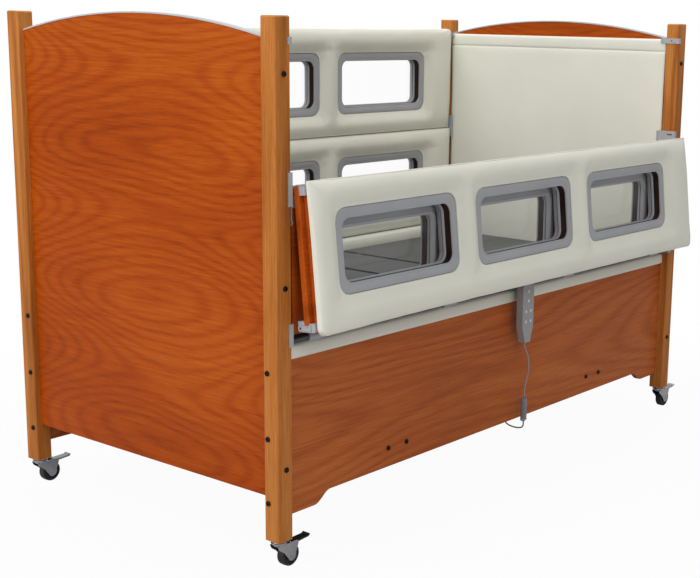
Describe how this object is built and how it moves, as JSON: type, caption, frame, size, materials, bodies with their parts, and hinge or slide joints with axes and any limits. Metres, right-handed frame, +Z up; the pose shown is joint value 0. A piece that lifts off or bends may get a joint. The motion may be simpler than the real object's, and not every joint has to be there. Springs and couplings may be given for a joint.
{
  "type": "enclosed care bed with padded folding side rails",
  "caption": "Timber care bed with padded windowed side rails that fold in two stages, arched ends, a powered sectioned deck, a corded handset and braked casters.",
  "frame": {"origin": "middle of the base of the bounding box, on the floor under the bed", "axes": "+X from the foot end to the head end, -Y the front side whose upper rail is folded down, +Z up"},
  "size_m": [2.236, 1.2555, 1.487],
  "materials": {
    "post_timber": "clear satin lacquer, golden",
    "panel_timber": "clear satin lacquer, red-brown",
    "skirt_timber": "clear satin lacquer, brown",
    "rail_timber": "clear satin lacquer, red-brown",
    "cream_vinyl": "soft matte upholstery vinyl",
    "window_grey": "moulded, satin",
    "grey_plastic": "moulded, satin",
    "grey_metal": "light grey coat",
    "dark_tube": "dark metallic coat",
    "black_metal": "black coat",
    "dark_steel": "charcoal powder coat",
    "deck_laminate": "charcoal laminate, matte",
    "dark_plastic": "moulded, matte",
    "plain_steel": "ground",
    "handset_plastic": "moulded, satin",
    "cord_grey": "smooth",
    "bright_chrome": "plated",
    "caster_tyre": "matte rubber"
  },
  "bodies": {
    "bed": {"post_front_foot": "post_timber", "post_front_head": "post_timber", "post_back_foot": "post_timber", "post_back_head": "post_timber", "foot_end_panel": "panel_timber", "head_end_panel": "panel_timber", "end_edge_trims": "grey_plastic", "foot_end_pad": "cream_vinyl", "head_end_pad": "cream_vinyl", "front_skirt": "skirt_timber", "back_skirt": "skirt_timber", "sill_pads": "cream_vinyl", "side_tubes": "dark_tube", "post_brackets": "grey_metal", "frame_bolts": "black_metal", "deck_frame": "dark_steel", "seat_deck": "deck_laminate", "control_box": "dark_plastic", "actuator_housings": "dark_plastic", "handset_cord_lead": "cord_grey", "handset_cord_coil": "cord_grey", "handset_cord_tail": "cord_grey"},
    "front_lower_rail": {"front_lower_board": "rail_timber", "front_lower_pad": "cream_vinyl", "front_lower_windows": "window_grey", "front_lower_fittings": "grey_metal"},
    "front_lower_latch": {"front_lower_latches": "grey_metal"},
    "front_upper_rail": {"front_upper_board": "rail_timber", "front_upper_pad": "cream_vinyl", "front_upper_windows": "window_grey", "front_upper_fittings": "grey_metal"},
    "front_upper_latch": {"front_upper_latches": "grey_metal"},
    "back_lower_rail": {"back_lower_board": "rail_timber", "back_lower_pad": "cream_vinyl", "back_lower_windows": "window_grey", "back_lower_fittings": "grey_metal"},
    "back_lower_latch": {"back_lower_latches": "grey_metal"},
    "back_upper_rail": {"back_upper_board": "rail_timber", "back_upper_pad": "cream_vinyl", "back_upper_windows": "window_grey", "back_upper_fittings": "grey_metal"},
    "back_upper_latch": {"back_upper_latches": "grey_metal"},
    "handset": {"handset": "handset_plastic"},
    "backrest": {"head_deck": "deck_laminate"},
    "thigh_rest": {"thigh_deck": "deck_laminate"},
    "calf_rest": {"calf_deck": "deck_laminate"},
    "backrest_rod": {"head_actuator_rod": "plain_steel"},
    "leg_rod": {"leg_actuator_rod": "plain_steel"},
    "caster_front_foot_swivel": {"caster_front_foot_fork": "bright_chrome"},
    "caster_front_foot_roller": {"caster_front_foot_wheel": "caster_tyre"},
    "caster_front_foot_brake": {"caster_front_foot_pedal": "dark_plastic"},
    "caster_front_head_swivel": {"caster_front_head_fork": "bright_chrome"},
    "caster_front_head_roller": {"caster_front_head_wheel": "caster_tyre"},
    "caster_front_head_brake": {"caster_front_head_pedal": "bright_chrome"},
    "caster_back_foot_swivel": {"caster_back_foot_fork": "bright_chrome"},
    "caster_back_foot_roller": {"caster_back_foot_wheel": "caster_tyre"},
    "caster_back_foot_brake": {"caster_back_foot_pedal": "bright_chrome"},
    "caster_back_head_swivel": {"caster_back_head_fork": "bright_chrome"},
    "caster_back_head_roller": {"caster_back_head_wheel": "caster_tyre"},
    "caster_back_head_brake": {"caster_back_head_pedal": "bright_chrome"}
  },
  "joints": [
    {"name": "front_lower_fold", "type": "hinge", "parent": "bed", "child": "front_lower_rail", "pos_m": [-0.038, -0.5037, 0.638], "axis": [1, 0, 0], "range_deg": [0, 80], "deforming": ["handset_cord_coil", "handset_cord_lead"]},
    {"name": "front_upper_fold", "type": "hinge", "parent": "front_lower_rail", "child": "front_upper_rail", "pos_m": [-0.038, -0.5187, 1.05], "axis": [1, 0, 0], "range_deg": [-174, 0]},
    {"name": "front_lower_unlatch", "type": "hinge", "parent": "front_lower_rail", "child": "front_lower_latch", "pos_m": [-0.038, -0.5117, 1.012], "axis": [1, 0, 0], "range_deg": [0, 26], "stiffness_Nm_per_rad": 0.4, "springref_deg": -17.19},
    {"name": "front_upper_unlatch", "type": "hinge", "parent": "front_upper_rail", "child": "front_upper_latch", "pos_m": [-0.038, -0.56476, 0.67878], "axis": [1, 0, 0], "range_deg": [0, 26], "stiffness_Nm_per_rad": 0.4, "springref_deg": -17.19},
    {"name": "back_lower_fold", "type": "hinge", "parent": "bed", "child": "back_lower_rail", "pos_m": [-0.038, 0.5923, 0.638], "axis": [1, 0, 0], "range_deg": [-90, 0]},
    {"name": "back_upper_fold", "type": "hinge", "parent": "back_lower_rail", "child": "back_upper_rail", "pos_m": [-0.038, 0.6073, 1.05], "axis": [1, 0, 0], "range_deg": [-176, 0]},
    {"name": "back_lower_unlatch", "type": "hinge", "parent": "back_lower_rail", "child": "back_lower_latch", "pos_m": [-0.038, 0.6003, 1.012], "axis": [-1, 0, 0], "range_deg": [0, 26], "stiffness_Nm_per_rad": 0.4, "springref_deg": -17.19},
    {"name": "back_upper_unlatch", "type": "hinge", "parent": "back_upper_rail", "child": "back_upper_latch", "pos_m": [-0.038, 0.6003, 1.424], "axis": [-1, 0, 0], "range_deg": [0, 26], "stiffness_Nm_per_rad": 0.4, "springref_deg": -17.19},
    {"name": "handset_swing", "type": "hinge", "parent": "front_lower_rail", "child": "handset", "pos_m": [0.007, -0.5337, 0.65], "axis": [1, 0, 0], "range_deg": [-80, 0]},
    {"name": "backrest_raise", "type": "hinge", "parent": "bed", "child": "backrest", "pos_m": [0.252, 0.0443, 0.592], "axis": [0, -1, 0], "range_deg": [0, 65]},
    {"name": "thigh_raise", "type": "hinge", "parent": "bed", "child": "thigh_rest", "pos_m": [-0.012, 0.0443, 0.592], "axis": [0, 1, 0], "range_deg": [0, 35]},
    {"name": "knee_bend", "type": "hinge", "parent": "thigh_rest", "child": "calf_rest", "pos_m": [-0.382, 0.0443, 0.592], "axis": [0, 1, 0], "range_deg": [-53.2, 0]},
    {"name": "backrest_rod_slide", "type": "slide", "parent": "bed", "child": "backrest_rod", "axis": [1, 0, 0], "range_m": [0, 0.1183]},
    {"name": "leg_rod_slide", "type": "slide", "parent": "bed", "child": "leg_rod", "axis": [-1, 0, 0], "range_m": [0, 0.0663]},
    {"name": "caster_front_foot_turn", "type": "hinge", "parent": "bed", "child": "caster_front_foot_swivel", "pos_m": [-1.086, -0.49271, 0.071], "axis": [0, 0, 1], "continuous": true},
    {"name": "caster_front_foot_roll", "type": "hinge", "parent": "caster_front_foot_swivel", "child": "caster_front_foot_roller", "pos_m": [-1.052, -0.49271, 0.0325], "axis": [0, 1, 0], "continuous": true},
    {"name": "caster_front_foot_press", "type": "hinge", "parent": "caster_front_foot_swivel", "child": "caster_front_foot_brake", "pos_m": [-1.034, -0.49271, 0.065], "axis": [0, 1, 0], "range_deg": [0, 15]},
    {"name": "caster_front_head_turn", "type": "hinge", "parent": "bed", "child": "caster_front_head_swivel", "pos_m": [1.01, -0.49271, 0.071], "axis": [0, 0, 1], "continuous": true},
    {"name": "caster_front_head_roll", "type": "hinge", "parent": "caster_front_head_swivel", "child": "caster_front_head_roller", "pos_m": [1.044, -0.49271, 0.0325], "axis": [0, 1, 0], "continuous": true},
    {"name": "caster_front_head_press", "type": "hinge", "parent": "caster_front_head_swivel", "child": "caster_front_head_brake", "pos_m": [1.062, -0.49271, 0.065], "axis": [0, 1, 0], "range_deg": [0, 15]},
    {"name": "caster_back_foot_turn", "type": "hinge", "parent": "bed", "child": "caster_back_foot_swivel", "pos_m": [-1.086, 0.5813, 0.071], "axis": [0, 0, 1], "continuous": true},
    {"name": "caster_back_foot_roll", "type": "hinge", "parent": "caster_back_foot_swivel", "child": "caster_back_foot_roller", "pos_m": [-1.052, 0.5813, 0.0325], "axis": [0, 1, 0], "continuous": true},
    {"name": "caster_back_foot_press", "type": "hinge", "parent": "caster_back_foot_swivel", "child": "caster_back_foot_brake", "pos_m": [-1.034, 0.5813, 0.065], "axis": [0, 1, 0], "range_deg": [0, 15]},
    {"name": "caster_back_head_turn", "type": "hinge", "parent": "bed", "child": "caster_back_head_swivel", "pos_m": [1.01, 0.5813, 0.071], "axis": [0, 0, 1], "continuous": true},
    {"name": "caster_back_head_roll", "type": "hinge", "parent": "caster_back_head_swivel", "child": "caster_back_head_roller", "pos_m": [1.044, 0.5813, 0.0325], "axis": [0, 1, 0], "continuous": true},
    {"name": "caster_back_head_press", "type": "hinge", "parent": "caster_back_head_swivel", "child": "caster_back_head_brake", "pos_m": [1.062, 0.5813, 0.065], "axis": [0, 1, 0], "range_deg": [0, 15]}
  ],
  "couplings": [
    {"joint": "handset_swing", "follows": "front_lower_fold", "ratio": -1},
    {"joint": "backrest_rod_slide", "follows": "backrest_raise", "m_per_rad": 0.1042},
    {"joint": "leg_rod_slide", "follows": "thigh_raise", "m_per_rad": 0.1083},
    {"joint": "knee_bend", "follows": "thigh_raise", "ratio": -1.52}
  ]
}
